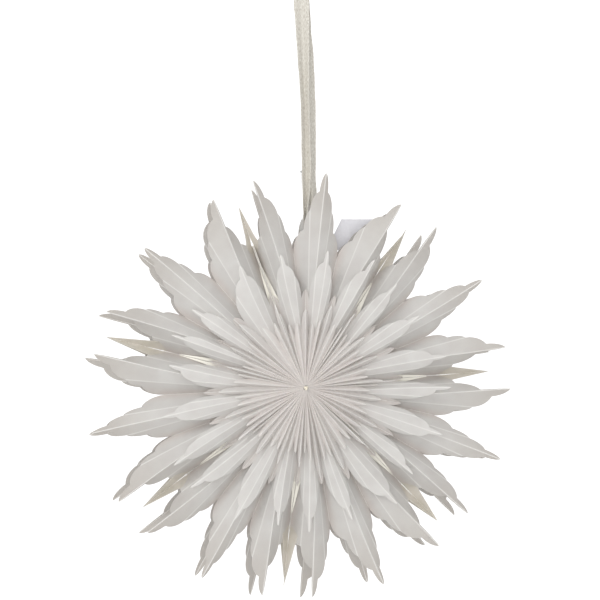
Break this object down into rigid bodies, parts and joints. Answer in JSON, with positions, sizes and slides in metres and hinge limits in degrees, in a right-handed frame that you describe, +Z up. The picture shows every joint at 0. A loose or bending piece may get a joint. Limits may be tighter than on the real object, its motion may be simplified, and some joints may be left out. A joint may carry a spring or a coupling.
{
  "type": "paper snowflake star",
  "caption": "Hanging paper snowflake star: folded paper bags fanned into a round star with pointed, scalloped leaves in tiers, on a ribbon loop; it folds flat like a fan.",
  "frame": {"origin": "the hang point: the inside of the ribbon loop's top, where the hook bears", "axes": "+Z up, -Y towards the viewer, so the star's flat round face looks along -Y; +X to the viewer's right"},
  "size_m": [0.397, 0.1136, 0.5835],
  "materials": {
    "white_paper": "matt uncoated white paper, folded",
    "cover_card": "smooth white card",
    "tag_card": "smooth blank white card",
    "ribbon": "cream woven ribbon with a faint metallic shimmer",
    "thread": "clear nylon",
    "cord": "cream cotton cord"
  },
  "bodies": {
    "ribbon": {"ribbon_loop": "ribbon"},
    "thread": {"thread_knot": "thread", "hanging_thread": "thread", "thread_loop": "thread"},
    "star": {"bag_1_outer": "white_paper", "bag_1_middle_front": "white_paper", "bag_1_middle_back": "white_paper", "bag_1_inner_front": "white_paper", "bag_1_inner_back": "white_paper", "hang_tab": "cover_card", "centre_cord": "cord", "front_knot": "cord", "back_knot": "cord", "tag_fastener": "thread"},
    "bag_2": {"bag_2_outer": "white_paper", "bag_2_middle_front": "white_paper", "bag_2_middle_back": "white_paper", "bag_2_inner_front": "white_paper", "bag_2_inner_back": "white_paper"},
    "bag_3": {"bag_3_outer": "white_paper", "bag_3_middle_front": "white_paper", "bag_3_middle_back": "white_paper", "bag_3_inner_front": "white_paper", "bag_3_inner_back": "white_paper"},
    "bag_4": {"bag_4_outer": "white_paper", "bag_4_middle_front": "white_paper", "bag_4_middle_back": "white_paper", "bag_4_inner_front": "white_paper", "bag_4_inner_back": "white_paper"},
    "bag_5": {"bag_5_outer": "white_paper", "bag_5_middle_front": "white_paper", "bag_5_middle_back": "white_paper", "bag_5_inner_front": "white_paper", "bag_5_inner_back": "white_paper"},
    "bag_6": {"bag_6_outer": "white_paper", "bag_6_middle_front": "white_paper", "bag_6_middle_back": "white_paper", "bag_6_inner_front": "white_paper", "bag_6_inner_back": "white_paper"},
    "bag_7": {"bag_7_outer": "white_paper", "bag_7_middle_front": "white_paper", "bag_7_middle_back": "white_paper", "bag_7_inner_front": "white_paper", "bag_7_inner_back": "white_paper"},
    "cover_first": {"end_cover_first": "cover_card"},
    "cover_last": {"end_cover_last": "cover_card"},
    "tag": {"tag": "tag_card"}
  },
  "joints": [
    {"name": "star_twist", "type": "hinge", "parent": "ribbon", "child": "thread", "pos_m": [0, 0, -0.174], "axis": [0, 0, 1], "range_deg": [-90, 90]},
    {"name": "star_tilt", "type": "hinge", "parent": "thread", "child": "star", "pos_m": [0, 0, -0.264], "axis": [1, 0, 0], "range_deg": [-10, 10]},
    {"name": "fan_fold", "type": "hinge", "parent": "star", "child": "bag_7", "pos_m": [0.0018, 0, -0.38], "axis": [0, -1, 0], "range_deg": [0, 296.43], "deforming": ["bag_7_outer", "bag_7_middle_front", "bag_7_middle_back", "bag_7_inner_front", "bag_7_inner_back", "bag_1_outer", "bag_1_middle_front", "bag_1_middle_back", "bag_1_inner_front", "bag_1_inner_back"]},
    {"name": "bag_2_fold", "type": "hinge", "parent": "star", "child": "bag_2", "pos_m": [0.0018, 0, -0.38], "axis": [0, -1, 0], "range_deg": [-0.5, 56.8], "deforming": ["bag_2_outer", "bag_2_middle_front", "bag_2_middle_back", "bag_2_inner_front", "bag_2_inner_back"]},
    {"name": "bag_3_fold", "type": "hinge", "parent": "star", "child": "bag_3", "pos_m": [0.0018, 0, -0.38], "axis": [0, -1, 0], "range_deg": [-0.5, 104.08], "deforming": ["bag_3_outer", "bag_3_middle_front", "bag_3_middle_back", "bag_3_inner_front", "bag_3_inner_back"]},
    {"name": "bag_4_fold", "type": "hinge", "parent": "star", "child": "bag_4", "pos_m": [0.0018, 0, -0.38], "axis": [0, -1, 0], "range_deg": [-0.5, 151.22], "deforming": ["bag_4_outer", "bag_4_middle_front", "bag_4_middle_back", "bag_4_inner_front", "bag_4_inner_back"]},
    {"name": "bag_5_fold", "type": "hinge", "parent": "star", "child": "bag_5", "pos_m": [0.0018, 0, -0.38], "axis": [0, -1, 0], "range_deg": [-0.5, 198.12], "deforming": ["bag_5_outer", "bag_5_middle_front", "bag_5_middle_back", "bag_5_inner_front", "bag_5_inner_back"]},
    {"name": "bag_6_fold", "type": "hinge", "parent": "star", "child": "bag_6", "pos_m": [0.0018, 0, -0.38], "axis": [0, -1, 0], "range_deg": [-0.5, 245.78], "deforming": ["bag_6_outer", "bag_6_middle_front", "bag_6_middle_back", "bag_6_inner_front", "bag_6_inner_back"]},
    {"name": "cover_last_fold", "type": "hinge", "parent": "star", "child": "cover_last", "pos_m": [0.0018, 0, -0.38], "axis": [0, -1, 0], "range_deg": [-0.5, 322.95]},
    {"name": "cover_first_fold", "type": "hinge", "parent": "star", "child": "cover_first", "pos_m": [0.0018, 0, -0.38], "axis": [0, -1, 0], "range_deg": [-17.25, 0.5]},
    {"name": "tag_flap", "type": "hinge", "parent": "star", "child": "tag", "pos_m": [0.07807, 0.03025, -0.23031], "axis": [1, 0, 0], "range_deg": [0, 25]}
  ],
  "couplings": [
    {"joint": "bag_2_fold", "follows": "fan_fold", "ratio": 0.18993},
    {"joint": "bag_3_fold", "follows": "fan_fold", "ratio": 0.34941},
    {"joint": "bag_4_fold", "follows": "fan_fold", "ratio": 0.50848},
    {"joint": "bag_5_fold", "follows": "fan_fold", "ratio": 0.66669},
    {"joint": "bag_6_fold", "follows": "fan_fold", "ratio": 0.82744},
    {"joint": "cover_last_fold", "follows": "fan_fold", "ratio": 1.0878},
    {"joint": "cover_first_fold", "follows": "fan_fold", "ratio": -0.05651}
  ]
}
